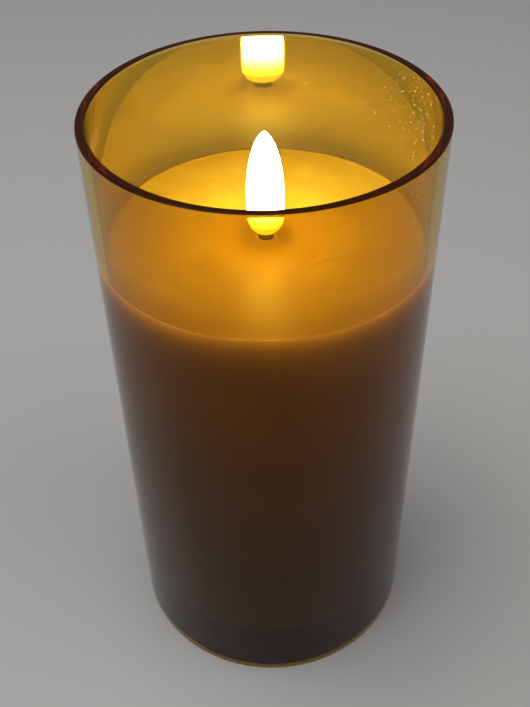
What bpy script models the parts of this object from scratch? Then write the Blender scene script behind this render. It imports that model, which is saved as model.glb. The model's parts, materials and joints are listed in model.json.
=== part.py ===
"""Flameless LED candle: a wax candle with a lit flame bulb, in a tinted glass cylinder.

Origin: centre of the base, on the surface that the candle stands on. +Z runs up the
candle's axis. The front is -Y: the slide switch is there, in the underside of the base.
All sizes are in metres.
"""
import math

import bmesh
import bpy
from mathutils import Matrix, Vector

MM = 0.001
GAP = 0.3 * MM                       # clearance kept between neighbouring pieces

# Driving dimensions
GLASS_RADIUS = 37.5 * MM
GLASS_HEIGHT = 150.0 * MM
GLASS_WALL = 2.0 * MM
GLASS_RIM_ROUND = 0.5 * MM           # radius of the fire-polished edges of the rim
GLASS_FOOT_CHAMFER = 0.4 * MM

WAX_TOP = 120.05 * MM                # at the stem
WAX_DISH = 0.45 * MM                 # how much higher the wax stands towards the glass
WAX_WALL = 3.5 * MM
WAX_CAP = 4.75 * MM                  # thickness of the wax above its hollow
WAX_MENISCUS = 0.45 * MM             # rise of the wax where it meets the glass

FLAME_RADIUS = 4.0 * MM
FLAME_WALL = 0.9 * MM
FLAME_BELLY = 125.0 * MM             # height of the centre of the round bottom
FLAME_SHOULDER = 130.5 * MM          # height where the flame starts to taper
FLAME_TIP = 145.05 * MM
FLAME_TAPER = 0.65                   # exponent of the ogive: 0.5 is round, 1 is pointed

STEM_RADIUS = 1.7 * MM
STEM_BORE = 1.1 * MM
STEM_BOTTOM = 109.0 * MM
STEM_TOP = 122.4 * MM

BASE_RADIUS = 34.9 * MM
BASE_WALL = 1.6 * MM
BASE_BOTTOM = 0.6 * MM
BASE_FLOOR = 1.4 * MM                # thickness of the base's floor, and of the door
BASE_RIM = 16.5 * MM                 # top of the housing's wall
COVER_THICKNESS = 1.4 * MM

CELL_RADIUS = 7.1 * MM               # AA cell
CELL_LENGTH = 50.3 * MM              # with its positive nub
CELL_NUB_RADIUS = 2.6 * MM
CELL_NUB_LENGTH = 1.0 * MM
CELL_SPACING = 14.5 * MM

BAY_HALF_LENGTH = 28.4 * MM
BAY_HALF_WIDTH = 14.8 * MM
BAY_END_WALL = 1.5 * MM
BAY_SIDE_WALL = 1.0 * MM
BAY_WALL_TOP = 14.6 * MM

HINGE_X = -28.2 * MM
HINGE_Z = 1.7 * MM
HINGE_BARREL_RADIUS = 1.0 * MM
HINGE_PIN_RADIUS = 0.6 * MM

SCREW_SPOTS = [(-22.6 * MM, -19.4 * MM), (22.6 * MM, -19.4 * MM), (0.0, 26.0 * MM)]
SCREW_SEAT = 4.0 * MM                # height of the ledge that a screw head pulls against
SCREW_RADIUS = 1.0 * MM
SCREW_HEAD_RADIUS = 2.0 * MM
SCREW_TIP = 14.5 * MM

SWITCH_Y = -24.0 * MM
SWITCH_TRAVEL = 4.0 * MM             # ON to OFF to TIMER, 2 mm apart
SWITCH_REST_X = -SWITCH_TRAVEL / 2   # the knob stands at ON

BOARD_BOTTOM = 8.2 * MM
BOARD_THICKNESS = 1.0 * MM

LEAD_RADIUS = 0.45 * MM
FINE_LEAD_RADIUS = 0.4 * MM

# Sizes that follow from the driving dimensions
GLASS_BORE = GLASS_RADIUS - GLASS_WALL
WAX_RADIUS = GLASS_BORE - GAP
WAX_BORE = WAX_RADIUS - WAX_WALL
WAX_UNDERSIDE = WAX_TOP - WAX_CAP
BASE_FLOOR_TOP = BASE_BOTTOM + BASE_FLOOR
BASE_BORE = BASE_RADIUS - BASE_WALL
COVER_BOTTOM = BASE_RIM + GAP
COVER_TOP = COVER_BOTTOM + COVER_THICKNESS
WAX_BOTTOM = COVER_TOP + GAP
CELL_Z = BASE_FLOOR_TOP + GAP + CELL_RADIUS
CONTACT_THICKNESS = 0.4 * MM
CONTACT_FACE = BAY_HALF_LENGTH - GAP - CONTACT_THICKNESS
CELL_POSITIVE_X = CONTACT_FACE - GAP
CELL_NEGATIVE_X = CELL_POSITIVE_X - CELL_LENGTH
BOARD_TOP = BOARD_BOTTOM + BOARD_THICKNESS
COMPONENT_Z = BOARD_TOP + GAP        # underside of what is mounted on the board

MANY_SIDES = 64
ROUND_SIDES = 24
SMALL_SIDES = 12


# --- Scene and helpers -----------------------------------------------------------------

def clear_scene():
    for item in list(bpy.data.objects):
        bpy.data.objects.remove(item, do_unlink=True)


def make_collection(name):
    collection = bpy.data.collections.new(name)
    bpy.context.scene.collection.children.link(collection)
    return collection


def make_material(name, color, roughness, metallic=0.0, alpha=1.0, transmission=0.0, glow=0.0):
    material = bpy.data.materials.new(name)
    material.use_nodes = True
    shader = material.node_tree.nodes["Principled BSDF"]
    shader.inputs["Base Color"].default_value = (*color, 1.0)
    shader.inputs["Roughness"].default_value = roughness
    shader.inputs["Metallic"].default_value = metallic
    shader.inputs["Alpha"].default_value = alpha
    shader.inputs["Transmission Weight"].default_value = transmission
    if glow:
        shader.inputs["Emission Color"].default_value = (*color, 1.0)
        shader.inputs["Emission Strength"].default_value = glow
    return material


def add_object(name, mesh, material=None, tool=False):
    """Put a mesh in the scene, as a piece of the candle or as a tool that shapes one."""
    item = bpy.data.objects.new(name, mesh)
    if tool:
        tools.objects.link(item)
        item.hide_render = True
        item.display_type = "WIRE"
    else:
        pieces.objects.link(item)
        mesh.materials.append(material)
    return item


def box(name, low, high, material=None, tool=False):
    """A box from its lowest corner to its highest one."""
    shape = bmesh.new()
    bmesh.ops.create_cube(shape, size=1.0)
    size = [b - a for a, b in zip(low, high)]
    centre = [(a + b) / 2 for a, b in zip(low, high)]
    bmesh.ops.scale(shape, vec=size, verts=shape.verts)
    bmesh.ops.translate(shape, vec=centre, verts=shape.verts)
    mesh = bpy.data.meshes.new(name)
    shape.to_mesh(mesh)
    shape.free()
    return add_object(name, mesh, material, tool)


def cylinder(name, radius, start, end, material=None, sides=SMALL_SIDES, tool=False):
    """A round bar from one point to another."""
    start, end = Vector(start), Vector(end)
    along = end - start
    shape = bmesh.new()
    bmesh.ops.create_cone(shape, cap_ends=True, segments=sides, radius1=radius,
                          radius2=radius, depth=along.length)
    turn = along.to_track_quat("Z", "Y").to_matrix().to_4x4()
    place = Matrix.Translation((start + end) / 2) @ turn
    bmesh.ops.transform(shape, matrix=place, verts=shape.verts)
    mesh = bpy.data.meshes.new(name)
    shape.to_mesh(mesh)
    shape.free()
    mesh.shade_smooth()
    mesh.set_sharp_from_angle(angle=math.radians(40))
    return add_object(name, mesh, material, tool)


def turned(name, profile, material, sides, closed=False):
    """A solid of revolution about Z. The profile runs down the outer side of the piece."""
    mesh = bpy.data.meshes.new(name)
    count = len(profile)
    edges = [(i, i + 1) for i in range(count - 1)]
    if closed:
        edges.append((count - 1, 0))
    mesh.from_pydata([(radius, 0.0, height) for radius, height in profile], edges, [])
    item = add_object(name, mesh, material)
    screw = item.modifiers.new("Turn", "SCREW")
    screw.steps = sides
    screw.render_steps = sides
    screw.use_merge_vertices = True
    screw.merge_threshold = 0.00001
    screw.use_smooth_shade = True
    return item


def wire(name, points, radius, material):
    """A round wire through the points, with flat ends."""
    curve = bpy.data.curves.new(name, "CURVE")
    curve.dimensions = "3D"
    curve.bevel_depth = radius
    curve.bevel_resolution = 2
    curve.render_resolution_u = 0
    curve.use_fill_caps = True
    spline = curve.splines.new("POLY")
    spline.points.add(len(points) - 1)
    for knot, point in zip(spline.points, points):
        knot.co = (*point, 1.0)
    return add_object(name, curve, material)


def smooth_route(points, steps=6):
    """A smooth curve that passes through every point, as a list of closer points."""
    points = [Vector(point) for point in points]
    route = []
    for index in range(len(points) - 1):
        before = points[max(index - 1, 0)]
        start, end = points[index], points[index + 1]
        after = points[min(index + 2, len(points) - 1)]
        for step in range(steps):
            t = step / steps
            route.append(0.5 * (2 * start + (end - before) * t
                                + (2 * before - 5 * start + 4 * end - after) * t ** 2
                                + (3 * start - before - 3 * end + after) * t ** 3))
    route.append(points[-1])
    return route


def shape_with(item, tool, operation):
    """Cut, join or trim a piece with a tool object."""
    boolean = item.modifiers.new(tool.name, "BOOLEAN")
    boolean.operation = operation
    boolean.solver = "EXACT"
    boolean.object = tool


def cut_box(item, low, high):
    shape_with(item, box(item.name + "_cut", low, high, tool=True), "DIFFERENCE")


def cut_round(item, radius, start, end, sides=SMALL_SIDES):
    hole = cylinder(item.name + "_hole", radius, start, end, sides=sides, tool=True)
    shape_with(item, hole, "DIFFERENCE")


def join_box(item, low, high):
    shape_with(item, box(item.name + "_block", low, high, tool=True), "UNION")


def join_round(item, radius, start, end, sides=SMALL_SIDES):
    post = cylinder(item.name + "_post", radius, start, end, sides=sides, tool=True)
    shape_with(item, post, "UNION")


def arc(centre, radius, start_degrees, end_degrees, steps):
    """Points of an arc in the profile plane, as (radius, height) pairs."""
    points = []
    for step in range(steps + 1):
        angle = math.radians(start_degrees + (end_degrees - start_degrees) * step / steps)
        points.append((centre[0] + radius * math.cos(angle), centre[1] + radius * math.sin(angle)))
    return points


# --- Glass and wax ---------------------------------------------------------------------

def make_glass_cylinder():
    edge = GLASS_RIM_ROUND
    rim = arc((GLASS_BORE + edge, GLASS_HEIGHT - edge), edge, 180, 90, 3)
    rim += arc((GLASS_RADIUS - edge, GLASS_HEIGHT - edge), edge, 90, 0, 3)
    foot = [(GLASS_RADIUS, GLASS_FOOT_CHAMFER),
            (GLASS_RADIUS - GLASS_FOOT_CHAMFER, 0.0),
            (GLASS_BORE + GLASS_FOOT_CHAMFER, 0.0),
            (GLASS_BORE, GLASS_FOOT_CHAMFER)]
    amber = make_material("tinted_glass", (0.86, 0.66, 0.36), 0.03, alpha=0.35, transmission=1.0)
    turned("glass_cylinder", rim + foot, amber, MANY_SIDES, closed=True)


def wax_height(radius):
    """Height of the wax top: a shallow dish with a lip at the stem and a rise at the glass."""
    dish = WAX_DISH * (radius / WAX_RADIUS) ** 2
    lip = 0.15 * MM * math.exp(-(radius - STEM_RADIUS - GAP) / (0.5 * MM))
    rise = WAX_MENISCUS * math.exp(-(WAX_RADIUS - radius) / (0.8 * MM))
    return WAX_TOP + dish + lip + rise


def make_wax_shell():
    stem_hole = STEM_RADIUS + GAP
    outer_edge = 0.25 * MM
    top_radii = [stem_hole, stem_hole + 0.5 * MM, stem_hole + 1.5 * MM, WAX_RADIUS / 2,
                 WAX_RADIUS - 3.0 * MM, WAX_RADIUS - 1.5 * MM, WAX_RADIUS - 0.7 * MM,
                 WAX_RADIUS - outer_edge]
    top = [(radius, wax_height(radius)) for radius in top_radii]
    side = [(WAX_RADIUS, wax_height(WAX_RADIUS) - outer_edge), (WAX_RADIUS, WAX_BOTTOM),
            (WAX_BORE, WAX_BOTTOM)]
    cavity_fillet = 3.0 * MM
    corner = (WAX_BORE - cavity_fillet, WAX_UNDERSIDE - cavity_fillet)
    cavity = arc(corner, cavity_fillet, 0, 90, 4) + [(stem_hole, WAX_UNDERSIDE)]
    ivory = make_material("ivory_wax", (0.93, 0.83, 0.62), 0.45)
    turned("wax_shell", top + side + cavity, ivory, MANY_SIDES, closed=True)


# --- Flame bulb, its lights and its stem ------------------------------------------------

def flame_profile(radius, tip, neck_radius):
    """One side of the flame: an ogive, a straight waist, and a round bottom to the neck."""
    points = [(0.0, tip)]
    taper_steps = 9
    for step in range(1, taper_steps + 1):
        reach = math.cos(math.pi / 2 * step / taper_steps)
        height = FLAME_SHOULDER + (tip - FLAME_SHOULDER) * reach
        points.append((radius * (1 - reach ** 2) ** FLAME_TAPER, height))
    points.append((radius, (FLAME_SHOULDER + FLAME_BELLY) / 2))
    neck_angle = -math.degrees(math.acos(neck_radius / radius))
    return points + arc((0.0, FLAME_BELLY), radius, 0, neck_angle, 4)


def make_flame_bulb():
    neck_radius = STEM_RADIUS + GAP
    tip_wall = 1.5 * FLAME_WALL
    outside = flame_profile(FLAME_RADIUS, FLAME_TIP, neck_radius)
    inside = flame_profile(FLAME_RADIUS - FLAME_WALL, FLAME_TIP - tip_wall, neck_radius)
    milky = make_material("milky_bulb", (1.0, 0.9, 0.7), 0.4, glow=8.0)
    turned("flame_bulb", outside + inside[::-1], milky, ROUND_SIDES)


def make_led_board():
    half_width = 1.4 * MM
    half_thickness = 0.3 * MM
    bottom = STEM_TOP + GAP
    white = make_material("white_board", (0.9, 0.9, 0.88), 0.5)
    box("led_board", (-half_width, -half_thickness, bottom),
        (half_width, half_thickness, bottom + 15.3 * MM), white)
    chip_half = 0.6 * MM
    chip_thickness = 0.6 * MM
    chip = make_material("light_chip", (1.0, 0.85, 0.45), 0.4, glow=10.0)
    for index, height in enumerate((126.0 * MM, 130.5 * MM, 135.0 * MM)):
        side = 1 if index % 2 else -1
        near = side * (half_thickness + GAP)
        far = near + side * chip_thickness
        box(f"led_chip_{index + 1}", (-chip_half, min(near, far), height - chip_half),
            (chip_half, max(near, far), height + chip_half), chip)


def make_wick():
    black = make_material("black_stem", (0.03, 0.02, 0.015), 0.5)
    stem = [(STEM_BORE, STEM_TOP), (STEM_RADIUS, STEM_TOP),
            (STEM_RADIUS, STEM_BOTTOM), (STEM_BORE, STEM_BOTTOM)]
    turned("wick_stem", stem, black, ROUND_SIDES, closed=True)
    bore = STEM_RADIUS + GAP
    sleeve = bore + 1.0 * MM
    flange = 7.0 * MM
    flange_top = WAX_UNDERSIDE - GAP
    flange_bottom = flange_top - 1.4 * MM
    sleeve_bottom = flange_bottom - 6.0 * MM
    holder = [(bore, flange_top), (flange, flange_top), (flange, flange_bottom),
              (sleeve, flange_bottom), (sleeve, sleeve_bottom), (bore, sleeve_bottom)]
    white = make_material("holder_plastic", (0.8, 0.78, 0.72), 0.5)
    turned("wick_holder", holder, white, ROUND_SIDES, closed=True)


def make_led_leads():
    """Two fine leads, from the circuit board up through the cover and into the stem."""
    insulation = {"positive": (0.55, 0.02, 0.02), "negative": (0.02, 0.02, 0.02)}
    for side, (pole, color) in zip((1, -1), insulation.items()):
        route = [(1.0, -20.5, 9.6), (1.0, -20.5, 14.0), (1.0, -20.5, 22.0), (1.0, -16.0, 45.0),
                 (0.8, -6.0, 78.0), (0.5, 0.0, 100.0), (0.5, 0.0, 108.0), (0.5, 0.0, 122.1)]
        points = [(side * x * MM, y * MM, z * MM) for x, y, z in route]
        rubber = make_material(f"led_lead_{pole}", color, 0.5)
        wire(f"led_lead_{pole}", smooth_route(points), FINE_LEAD_RADIUS, rubber)


# --- Base ------------------------------------------------------------------------------

def make_base_housing():
    groove_radius = BASE_RADIUS - 0.8 * MM
    groove_low, groove_high = 7.7 * MM, 11.3 * MM
    foot_chamfer = 0.5 * MM
    tub = [(0.0, BASE_FLOOR_TOP), (BASE_BORE, BASE_FLOOR_TOP), (BASE_BORE, BASE_RIM),
           (BASE_RADIUS, BASE_RIM), (BASE_RADIUS, groove_high), (groove_radius, groove_high),
           (groove_radius, groove_low), (BASE_RADIUS, groove_low),
           (BASE_RADIUS, BASE_BOTTOM + foot_chamfer),
           (BASE_RADIUS - foot_chamfer, BASE_BOTTOM), (0.0, BASE_BOTTOM)]
    black = make_material("base_plastic", (0.015, 0.014, 0.013), 0.45)
    housing = turned("base_housing", tub, black, MANY_SIDES)
    sunk = BASE_FLOOR_TOP - 0.8 * MM          # where what stands on the floor starts, inside it
    clear = 20.0 * MM                         # height above everything in the base
    below = -5.0 * MM

    # Walls of the battery bay, screw seats and posts for the circuit board
    end = BAY_HALF_LENGTH + BAY_END_WALL
    side = BAY_HALF_WIDTH + BAY_SIDE_WALL
    join_box(housing, (-end, -side, sunk), (end, side, BAY_WALL_TOP))
    seat_radius = 2.9 * MM
    seat_top = SCREW_SEAT + 2.0 * MM
    for x, y in SCREW_SPOTS:
        join_round(housing, seat_radius, (x, y, sunk), (x, y, seat_top))
    post_radius = 1.6 * MM
    for x in (-15.0 * MM, 15.0 * MM):
        y = -22.0 * MM
        join_round(housing, post_radius, (x, y, sunk), (x, y, BOARD_BOTTOM - GAP))

    # The bay, open below, and the pocket and the snap-in holes of the door's hinge
    cut_box(housing, (-BAY_HALF_LENGTH, -BAY_HALF_WIDTH, below),
            (BAY_HALF_LENGTH, BAY_HALF_WIDTH, clear))
    pocket_end = HINGE_X - HINGE_BARREL_RADIUS - GAP
    pocket_top = HINGE_Z + HINGE_BARREL_RADIUS + GAP
    cut_box(housing, (pocket_end, -BAY_HALF_WIDTH, below),
            (-BAY_HALF_LENGTH + GAP, BAY_HALF_WIDTH, pocket_top))
    hole_reach = side + 0.3 * MM
    pin_hole = HINGE_PIN_RADIUS + GAP
    mouth = HINGE_PIN_RADIUS - 0.1 * MM       # narrower than the pin, which snaps past it
    for way in (-1, 1):
        inner, outer = way * (BAY_HALF_WIDTH - GAP), way * hole_reach
        cut_round(housing, pin_hole, (HINGE_X, inner, HINGE_Z), (HINGE_X, outer, HINGE_Z))
        cut_box(housing, (HINGE_X - mouth, min(inner, outer), below),
                (HINGE_X + mouth, max(inner, outer), HINGE_Z))

    # Screw holes with room for the heads
    for x, y in SCREW_SPOTS:
        cut_round(housing, SCREW_HEAD_RADIUS + 0.4 * MM, (x, y, below), (x, y, SCREW_SEAT))
        cut_round(housing, SCREW_RADIUS + GAP, (x, y, 0.0), (x, y, clear))

    # Recess and slot of the switch, and the finger scoop at the door's latch
    recess = (7.5 * MM, 3.75 * MM, 0.6 * MM)
    cut_box(housing, (-recess[0], SWITCH_Y - recess[1], below),
            (recess[0], SWITCH_Y + recess[1], BASE_BOTTOM + recess[2]))
    slot = (3.8 * MM, 1.5 * MM)
    cut_box(housing, (-slot[0], SWITCH_Y - slot[1], below), (slot[0], SWITCH_Y + slot[1], clear))
    scoop_radius = 6.0 * MM
    scoop_z = BASE_BOTTOM + 0.8 * MM - scoop_radius
    cut_round(housing, scoop_radius, (26.0 * MM, 0.0, scoop_z), (32.2 * MM, 0.0, scoop_z),
              ROUND_SIDES)


def make_base_cover():
    spigot_radius = WAX_BORE - 2 * GAP
    spigot_wall = 1.2 * MM
    spigot_top = COVER_TOP + 3.0 * MM
    plate = [(0.0, COVER_TOP), (spigot_radius - spigot_wall, COVER_TOP),
             (spigot_radius - spigot_wall, spigot_top), (spigot_radius, spigot_top),
             (spigot_radius, COVER_TOP), (BASE_RADIUS, COVER_TOP),
             (BASE_RADIUS, COVER_BOTTOM), (0.0, COVER_BOTTOM)]
    black = make_material("cover_plastic", (0.015, 0.014, 0.013), 0.5)
    cover = turned("base_cover", plate, black, MANY_SIDES)
    boss_radius = 2.5 * MM
    boss_bottom = SCREW_SEAT + 2.0 * MM + GAP
    for x, y in SCREW_SPOTS:
        join_round(cover, boss_radius, (x, y, boss_bottom), (x, y, COVER_BOTTOM + 0.5 * MM))
    for x, y in SCREW_SPOTS:
        cut_round(cover, SCREW_RADIUS + GAP, (x, y, 0.0), (x, y, SCREW_TIP + 1.0 * MM))
    lead_hole = 2.6 * MM
    lead_y = -20.5 * MM
    cut_round(cover, lead_hole, (0.0, lead_y, 0.0), (0.0, lead_y, COVER_TOP + 1.0 * MM))


def make_glue_ring():
    low, high = 8.0 * MM, 11.0 * MM
    outer = GLASS_BORE - GAP
    inner = BASE_RADIUS - 0.5 * MM
    bead = [(inner, high), (outer, high), (outer, low), (inner, low)]
    silicone = make_material("black_silicone", (0.03, 0.028, 0.026), 0.35)
    turned("glue_ring", bead, silicone, MANY_SIDES, closed=True)


def make_cover_screws():
    steel = make_material("screw_steel", (0.55, 0.55, 0.56), 0.3, metallic=1.0)
    head_top = SCREW_SEAT - GAP               # the side of the head that pulls on the seat
    head_bottom = head_top - 1.4 * MM
    pitch = 1.4 * MM
    root = 0.75 * SCREW_RADIUS
    thread_end = SCREW_TIP - 2.0 * MM
    threads = int((thread_end - head_top) / pitch)
    for index, (x, y) in enumerate(SCREW_SPOTS):
        profile = [(0.0, SCREW_TIP)]
        for turn in range(threads, 0, -1):
            height = head_top + turn * pitch
            profile.append((root, height))
            profile.append((SCREW_RADIUS, height - pitch / 2))
        profile += [(root, head_top), (SCREW_HEAD_RADIUS, head_top)]
        profile += arc((0.0, head_top - 0.2 * MM), SCREW_HEAD_RADIUS, 0, -30, 2)
        profile.append((0.0, head_bottom))
        screw = turned(f"cover_screw_{index + 1}", profile, steel, SMALL_SIDES)
        screw.location = (x, y, 0.0)
        arm, thin = 1.1 * MM, 0.25 * MM
        recess_top = head_bottom + 0.8 * MM
        for reach_x, reach_y in ((arm, thin), (thin, arm)):
            cut_box(screw, (x - reach_x, y - reach_y, 0.0), (x + reach_x, y + reach_y, recess_top))


# --- Battery bay -----------------------------------------------------------------------

def make_batteries():
    """Two AA cells, opposite ways round: the first has its positive end towards +X."""
    jacket = make_material("cell_jacket", (0.35, 0.36, 0.38), 0.35, metallic=0.6)
    edge = 0.5 * MM
    body_end = CELL_LENGTH - CELL_NUB_LENGTH
    profile = [(0.0, CELL_LENGTH), (CELL_NUB_RADIUS, CELL_LENGTH), (CELL_NUB_RADIUS, body_end),
               (CELL_RADIUS - edge, body_end), (CELL_RADIUS, body_end - edge),
               (CELL_RADIUS, edge), (CELL_RADIUS - edge, 0.0), (0.0, 0.0)]
    for number, way in ((1, 1), (2, -1)):
        cell = turned(f"battery_{number}", profile, jacket, ROUND_SIDES)
        cell.rotation_euler = (0.0, way * math.pi / 2, 0.0)
        cell.location = (way * CELL_NEGATIVE_X, way * CELL_SPACING / 2, CELL_Z)


def contact_plate(name, x_near, x_far, y_low, y_high, tab_y, metal):
    """A spring-steel plate at an end of the bay, with a solder tab at tab_y if it has one."""
    bottom, top = 3.4 * MM, 13.2 * MM
    low_x, high_x = min(x_near, x_far), max(x_near, x_far)
    plate = box(name, (low_x, y_low, bottom), (high_x, y_high, top), metal)
    if tab_y is not None:
        half_tab = 1.2 * MM
        join_box(plate, (low_x, tab_y - half_tab, top - 1.0 * MM),
                 (high_x, tab_y + half_tab, BAY_WALL_TOP))


def make_contacts():
    nickel = make_material("nickel_plate", (0.62, 0.6, 0.56), 0.3, metallic=1.0)
    near, far = CONTACT_FACE, CONTACT_FACE + CONTACT_THICKNESS
    outer, inner = 13.4 * MM, 1.2 * MM
    contact_plate("bridge_contact", near, far, -outer, outer, None, nickel)
    contact_plate("positive_contact", -near, -far, -outer, -inner, -12.0 * MM, nickel)
    contact_plate("negative_contact", -near, -far, inner, outer, 4.0 * MM, nickel)


def make_battery_springs():
    """Conical coil springs, pressed by the flat ends of the cells."""
    steel = make_material("spring_steel", (0.6, 0.59, 0.56), 0.25, metallic=1.0)
    wire_radius = 0.3 * MM
    plate_end = CONTACT_FACE - GAP - wire_radius
    cell_end = abs(CELL_NEGATIVE_X) + GAP + wire_radius
    wide, narrow = 4.6 * MM, 2.6 * MM
    turns, per_turn = 3.5, 12
    steps = int(turns * per_turn)
    for number, way in ((1, -1), (2, 1)):
        points = []
        for step in range(steps + 1):
            part = step / steps
            angle = 2 * math.pi * turns * part
            radius = wide + (narrow - wide) * part
            x = way * (plate_end + (cell_end - plate_end) * part)
            y = -way * CELL_SPACING / 2 + radius * math.cos(angle)
            points.append((x, y, CELL_Z + radius * math.sin(angle)))
        wire(f"battery_spring_{number}", points, wire_radius, steel)


def make_battery_leads():
    """Leads from the end contacts, over the bay's wall, down to the circuit board."""
    routes = {
        "positive": [(-27.75, -12.0, 15.4), (-27.3, -14.0, 15.75), (-25.2, -15.1, 15.75),
                     (-20.6, -15.1, 15.75), (-18.4, -16.2, 15.4), (-17.5, -17.8, 13.6),
                     (-17.4, -18.8, 9.6)],
        "negative": [(-27.45, 4.0, 15.5), (-27.45, -2.0, 15.75), (-27.45, -9.6, 15.75),
                     (-26.2, -12.6, 15.75), (-23.4, -13.4, 15.75), (-18.0, -13.6, 15.75),
                     (-15.6, -15.8, 15.6), (-15.0, -17.6, 13.9), (-14.9, -18.8, 9.6)]}
    insulation = {"positive": (0.55, 0.02, 0.02), "negative": (0.02, 0.02, 0.02)}
    for pole, route in routes.items():
        points = [(x * MM, y * MM, z * MM) for x, y, z in route]
        rubber = make_material(f"battery_lead_{pole}", insulation[pole], 0.5)
        wire(f"battery_lead_{pole}", smooth_route(points, 4), LEAD_RADIUS, rubber)


def make_battery_door():
    """A door hinged at -X, with a finger latch between two slots at +X."""
    half_width = BAY_HALF_WIDTH - GAP
    free_end = BAY_HALF_LENGTH - GAP
    black = make_material("door_plastic", (0.017, 0.016, 0.015), 0.45)
    door = box("battery_door", (0.0, -half_width, BASE_BOTTOM - HINGE_Z),
               (free_end - HINGE_X, half_width, BASE_FLOOR_TOP - HINGE_Z), black)
    door.location = (HINGE_X, 0.0, HINGE_Z)
    join_round(door, HINGE_BARREL_RADIUS, (HINGE_X, -half_width, HINGE_Z),
               (HINGE_X, half_width, HINGE_Z))
    pin_end = BAY_HALF_WIDTH + 0.8 * MM
    join_round(door, HINGE_PIN_RADIUS, (HINGE_X, -pin_end, HINGE_Z), (HINGE_X, pin_end, HINGE_Z))
    latch_half_width = 4.6 * MM
    slot_width = 0.7 * MM
    slot_start = free_end - 10.0 * MM
    for way in (-1, 1):
        y_near, y_far = way * latch_half_width, way * (latch_half_width + slot_width)
        cut_box(door, (slot_start, min(y_near, y_far), 0.0),
                (free_end + 1.0 * MM, max(y_near, y_far), 5.0 * MM))
    nub = 0.2 * MM                            # the swelling that holds the latch by friction
    nub_z = (BASE_BOTTOM + BASE_FLOOR_TOP) / 2
    join_round(door, nub, (free_end, -3.6 * MM, nub_z), (free_end, 3.6 * MM, nub_z), 12)
    ridge_height, ridge_width = 0.3 * MM, 0.7 * MM
    for step in range(4):
        x = free_end - 2.0 * MM - step * 1.5 * MM
        join_box(door, (x - ridge_width, -3.2 * MM, BASE_BOTTOM - ridge_height),
                 (x, 3.2 * MM, BASE_BOTTOM + 0.3 * MM))


# --- Circuit board and switch ------------------------------------------------------------

def make_circuit_board():
    green = make_material("green_board", (0.02, 0.12, 0.05), 0.4)
    board = box("circuit_board", (-19.0 * MM, -30.0 * MM, BOARD_BOTTOM),
                (19.0 * MM, -17.0 * MM, BOARD_TOP), green)
    outline = cylinder("circuit_board_outline", BASE_BORE - 0.8 * MM, (0, 0, 0),
                       (0, 0, 20.0 * MM), sides=MANY_SIDES, tool=True)
    shape_with(board, outline, "INTERSECT")
    for x in switch_pin_places():
        cut_round(board, 0.6 * MM, (x, SWITCH_Y, 5.0 * MM), (x, SWITCH_Y, 12.0 * MM), 12)


def make_board_components():
    epoxy = make_material("black_epoxy", (0.01, 0.01, 0.01), 0.3)
    blob_radius, blob_height = 3.0 * MM, 1.2 * MM
    blob = [(0.0, COMPONENT_Z + blob_height)]
    dome_steps = 4
    for step in range(1, dome_steps + 1):
        angle = math.pi / 2 * (1 - step / dome_steps)
        blob.append((blob_radius * math.cos(angle), COMPONENT_Z + blob_height * math.sin(angle)))
    blob.append((0.0, COMPONENT_Z))
    chip = turned("controller_chip", blob, epoxy, SMALL_SIDES)
    chip.location = (11.0 * MM, -24.5 * MM, 0.0)

    silver = make_material("crystal_can", (0.6, 0.6, 0.62), 0.25, metallic=1.0)
    can_radius = 1.0 * MM
    can_z = COMPONENT_Z + can_radius
    cylinder("timing_crystal", can_radius, (-15.0 * MM, -26.0 * MM, can_z),
             (-9.0 * MM, -26.0 * MM, can_z), silver)

    tan = make_material("resistor_body", (0.55, 0.4, 0.25), 0.5)
    body_radius = 0.85 * MM
    body_z = COMPONENT_Z + body_radius
    cylinder("current_resistor", body_radius, (-12.6 * MM, -20.4 * MM, body_z),
             (-9.2 * MM, -20.4 * MM, body_z), tan)

    sleeve = make_material("capacitor_sleeve", (0.02, 0.03, 0.08), 0.4)
    spot = (15.6 * MM, -19.8 * MM)
    cylinder("smoothing_capacitor", 2.0 * MM, (*spot, COMPONENT_Z), (*spot, 14.6 * MM), sleeve)


def switch_pin_places():
    pitch = 2.6 * MM
    return [(index - 1.5) * pitch for index in range(4)]


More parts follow.
